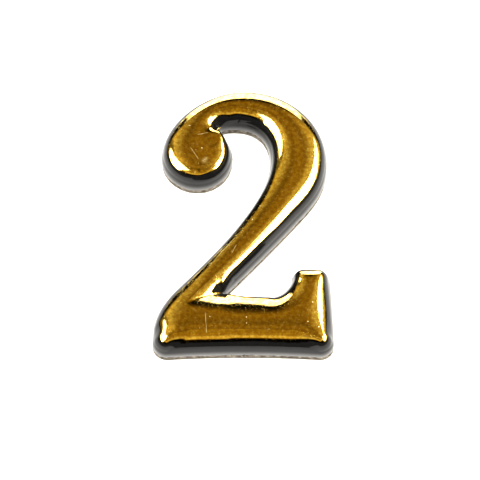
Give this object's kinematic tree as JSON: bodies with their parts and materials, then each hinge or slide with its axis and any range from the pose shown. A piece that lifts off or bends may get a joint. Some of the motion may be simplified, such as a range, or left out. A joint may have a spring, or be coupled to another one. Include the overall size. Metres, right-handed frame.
{
  "type": "self-adhesive table number",
  "caption": "Gold mirror-finish numeral with a pillowed face, lying on its foam tape and release liner, ready to stick to a table stand.",
  "frame": {"origin": "middle of the bounding box at its bottom, under the numeral, in the plane the liner lies on", "axes": "+X to the numeral's right, +Y to its top, +Z out of its face"},
  "size_m": [0.031, 0.05, 0.0054],
  "materials": {
    "gold_shell": "vacuum-metallised gold, mirror bright",
    "adhesive": "clear acrylic adhesive film",
    "foam": "white closed-cell foam, cut edge",
    "liner_paper": "silicone-coated release paper"
  },
  "bodies": {
    "liner": {"release_liner": "liner_paper"},
    "numeral": {"numeral_shell": "gold_shell", "front_adhesive": "adhesive", "foam_core": "foam", "rear_adhesive": "adhesive"}
  },
  "joints": [
    {"name": "numeral_lift", "type": "slide", "parent": "liner", "child": "numeral", "axis": [0, 0, 1], "range_m": [0, 0.03]}
  ]
}
